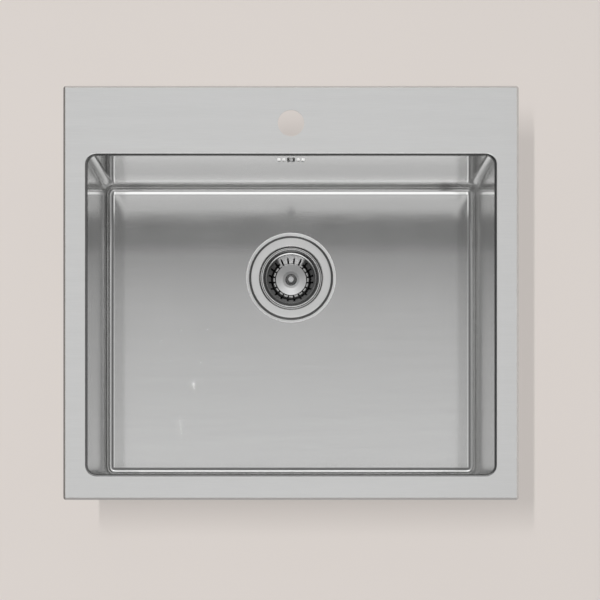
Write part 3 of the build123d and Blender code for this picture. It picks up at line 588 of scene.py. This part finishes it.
# Overflow hose: a corrugated tube with a plain cuff at each end and a collar at its foot, which
# the seal lies on. Cuffs are their lengths at the top and the foot, the collar radius and length
HOSE_OUTER = 0.0115
HOSE_WALL = 0.0008
HOSE_RIB = 0.0013
HOSE_RIB_POWER = 0.6
HOSE_PITCH = 0.0042
HOSE_CUFFS = (0.016, 0.018)
HOSE_COLLAR = (0.0128, 0.003)
HOSE_BEND = 0.034
HOSE_BEND_EASE = 0.001
HOSE_SIDES = 40
HOSE_STEP = HOSE_PITCH / 8
ROUTE_STEPS = 64


def route(points, resolution):
    """Places along a smooth route through a few guiding points, and the length run at each."""
    curve = bpy.data.curves.new("route", "CURVE")
    curve.dimensions = "3D"
    spline = curve.splines.new("NURBS")
    spline.points.add(len(points) - 1)
    for point, place in zip(spline.points, points):
        point.co = (*place, 1.0)
    spline.order_u = 3
    spline.use_endpoint_u = True
    spline.resolution_u = resolution
    holder = bpy.data.objects.new("route", curve)
    scene.collection.objects.link(holder)
    bpy.context.view_layer.update()
    read = holder.evaluated_get(bpy.context.evaluated_depsgraph_get())
    places = [vertex.co.copy() for vertex in read.to_mesh().vertices]
    read.to_mesh_clear()
    bpy.data.objects.remove(holder)
    bpy.data.curves.remove(curve)
    run = [0.0]
    for before, after in zip(places, places[1:]):
        run.append(run[-1] + (after - before).length)
    return places, run


def along(places, run, distance):
    """The place and the direction of the route at a distance from its start."""
    index = min(max(sum(1 for value in run if value <= distance), 1), len(run) - 1)
    start, end = places[index - 1], places[index]
    share = (distance - run[index - 1]) / (run[index] - run[index - 1])
    return start.lerp(end, share), (end - start).normalized()


def hose_radius(distance, length):
    """Outer radius: rounded ribs between the cuffs, and the collar at the foot."""
    if length - distance < HOSE_COLLAR[1]:
        return HOSE_COLLAR[0]
    from_end = min(distance - HOSE_CUFFS[0], length - HOSE_CUFFS[1] - distance)
    if from_end < 0:
        return HOSE_OUTER
    rib = 0.5 + 0.5 * math.cos(2 * math.pi * from_end / HOSE_PITCH)
    return HOSE_OUTER - HOSE_RIB * (1 - rib ** HOSE_RIB_POWER)


def hose_mesh(places, run):
    """Vertices and faces of the tube: rings down its outside, then back up its inside."""
    length = run[-1]
    count = round(length / HOSE_STEP)
    stations = [(index * length / count, 0.0) for index in range(count + 1)]
    stations += [(distance, HOSE_WALL) for distance, _ in reversed(stations)]
    vertices, faces = [], []
    side = Vector((1, 0, 0))
    for distance, inset in stations:
        middle, ahead = along(places, run, distance)
        out = side.cross(ahead)
        radius = hose_radius(distance, length) - inset
        for step in range(HOSE_SIDES):
            angle = 2 * math.pi * step / HOSE_SIDES
            vertices.append(middle + radius * (math.cos(angle) * side + math.sin(angle) * out))
    for ring in range(len(stations)):
        here, there = ring * HOSE_SIDES, (ring + 1) % len(stations) * HOSE_SIDES
        for step in range(HOSE_SIDES):
            after = (step + 1) % HOSE_SIDES
            faces.append((here + step, here + after, there + after, there + step))
    return vertices, faces


hose_x = (HOSE_LOW.x + HOSE_HIGH.x) / 2
hose_y, hose_z = HOSE_HIGH.y - HOSE_OUTER, HOSE_LOW.z + HOSE_COLLAR[0]
hose_route = [
    (hose_x, hose_y, HOSE_HIGH.z),
    (hose_x, hose_y, hose_z + 2 * HOSE_BEND),
    (hose_x, hose_y, hose_z),
    (hose_x, hose_y - 2 * HOSE_BEND + HOSE_BEND_EASE, hose_z),
    (hose_x, HOSE_LOW.y, hose_z),
]
vertices, faces = hose_mesh(*route(hose_route, ROUTE_STEPS))
hose = mesh_object("corrugated_hose", vertices, faces, materials["hose_plastic"])
hose.data.polygons.foreach_set("use_smooth", [True] * len(faces))
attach(hose, "sink")
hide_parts("overflow_hose")

# Stage: one wide, pale floor under the sink. PAPER_OWN is the share of its colour that is its
# own light, and PAPER_STRENGTH how strong that is
PAPER = linear(217, 210, 205)
PAPER_OWN, PAPER_STRENGTH = 0.6, 1.1
STAGE_HALF = 60.0
corners = [
    (x * STAGE_HALF, y * STAGE_HALF, STAGE_LEVEL) for x, y in ((-1, -1), (1, -1), (1, 1), (-1, 1))
]
stage_paper = paper("stage paper", PAPER, PAPER_OWN, PAPER_STRENGTH)
floor = mesh_object("stage floor", corners, [(0, 1, 2, 3)], stage_paper)
floor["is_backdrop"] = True

# Light: metal mirrors a dim room alone, whose ceiling is brightest above the front of the sink.
# Six lamps light the rest: a broad fill and a narrow key from above, and four low at the sides.
# Each edge below is (where it has faded out, where it is full), and p and q are how far a
# direction leans to either side and to the rear

# Bright parts of the ceiling: radiance, (front edge, rear edge) in q, and the side edge in p
PANELS = (
    (0.50, ((-1.3, -0.9), (0.157, 0.134)), (0.34, 0.14)),
    (0.92, ((-0.95, -0.6), (0.10, -0.30)), (0.34, 0.13)),
    (1.3, ((0.85, 1.4), (3.0, 2.2)), (1.6, 0.8)),
)
CEILING = 0.12
HORIZON = 0.02

# The walls: up to which height they glow, and how much towards their best side and away from it
WALL_EDGES = (0.9, 0.3)
WALL_BEST = (0.55, 0.83, 0)
WALL_DIM, WALL_BRIGHT = 0.2, 1.05

# The side that a part of the light is kept off, how that fades round the room and upwards
SHADED_SIDE = (-1, 0, 0)
SHADED = 0.6
SHADED_TURN = (0.2, 0.7)
SHADED_HEIGHT = (0.6, 0.3)


def room():
    """The room that metal mirrors, as brightness by direction, and the camera's pale backdrop."""
    t = Tree(bpy.data.worlds.new("room"), "ShaderNodeOutputWorld")
    direction = t.node("ShaderNodeTexCoord").outputs["Generated"]
    x, y, z = parts(t, direction)
    above = t.math("MAXIMUM", z, HORIZON)
    p = t.math("ABSOLUTE", t.math("DIVIDE", x, above))
    q = t.math("DIVIDE", y, above)
    outwards = t.vector("NORMALIZE", t.vector("MULTIPLY", direction, (1, 1, 0)))
    towards = t.vector("DOT_PRODUCT", outwards, WALL_BEST)
    wall = spread(t, towards, WALL_DIM, WALL_BRIGHT, -1.0, 1.0)
    total = t.math("ADD", t.math("MULTIPLY", smooth(t, z, *WALL_EDGES), wall), CEILING)
    shaded = smooth(t, t.vector("DOT_PRODUCT", outwards, SHADED_SIDE), *SHADED_TURN)
    shaded = t.math("MULTIPLY", shaded, smooth(t, z, *SHADED_HEIGHT))
    total = t.math("MULTIPLY", total, t.math("SUBTRACT", 1.0, t.math("MULTIPLY", shaded, SHADED)))
    for radiance, (front, rear), side in PANELS:
        glow = t.math("MULTIPLY", smooth(t, q, *rear), smooth(t, q, *front))
        glow = t.math("MULTIPLY", glow, smooth(t, p, *side))
        total = t.math("ADD", total, t.math("MULTIPLY", glow, radiance))
    light = t.node("ShaderNodeBackground", {0: WHITE, 1: total}).outputs[0]
    pale = t.node("ShaderNodeBackground", {0: PAPER, 1: PAPER_OWN * PAPER_STRENGTH}).outputs[0]
    seen = t.node("ShaderNodeLightPath").outputs["Is Camera Ray"]
    return t.finish(t.node("ShaderNodeMixShader", {0: seen, 1: light, 2: pale}))


def softbox(name, place, aim, size, radiance):
    """A flat lamp that glows evenly, as bright as radiance, where 1 is white."""
    lamp = bpy.data.lights.new(name, "AREA")
    lamp.shape = "RECTANGLE"
    width, depth = lamp.size, lamp.size_y = size
    lamp.energy = radiance * math.pi * width * depth
    item = bpy.data.objects.new(name, lamp)
    item.location = place
    item.rotation_euler = (Vector(place) - Vector(aim)).to_track_quat("Z", "Y").to_euler()
    item.visible_camera = False
    item.visible_glossy = False
    scene.collection.objects.link(item)


SIDE_LAMPS = ((2.6, 0.0), (-2.6, 0.0), (0.0, 2.6), (0.0, -2.6))
scene.world = room()
scene.world.cycles_visibility.diffuse = False
softbox("fill", place=(0.1, 0.2, 2.6), aim=(0, 0, 0), size=(2.4, 2.4), radiance=0.9)
softbox("key", place=(-0.35, 0.03, 2.7), aim=(-0.35, 0.03, 0), size=(0.03, 0.5), radiance=1150.0)
for index, (x, y) in enumerate(SIDE_LAMPS):
    softbox(f"side_{index}", place=(x, y, 0.12), aim=(0, 0, -0.05), size=(0.45, 2.2), radiance=4.5)

# Camera: straight down from above the bowl's front edge, with the frame shifted towards the tap
# ledge. The sink's width of 0.55 m takes 456 of the photograph's 600 pixels
PIXEL = 0.550 / 456
FRAME_PIXELS = 600
SENSOR = 36.0
HEIGHT = 1.80
camera = bpy.data.cameras.new("camera")
camera.sensor_width = SENSOR
camera.lens = SENSOR * (HEIGHT / PIXEL) / FRAME_PIXELS
camera.shift_x = 0.0143
camera.shift_y = 0.3035
camera_object = bpy.data.objects.new("camera", camera)
camera_object.location = (0.0005, -0.2285, DECK_TOP + HEIGHT)
scene.collection.objects.link(camera_object)
scene.camera = camera_object
scene.view_settings.view_transform = "Standard"

low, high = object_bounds()
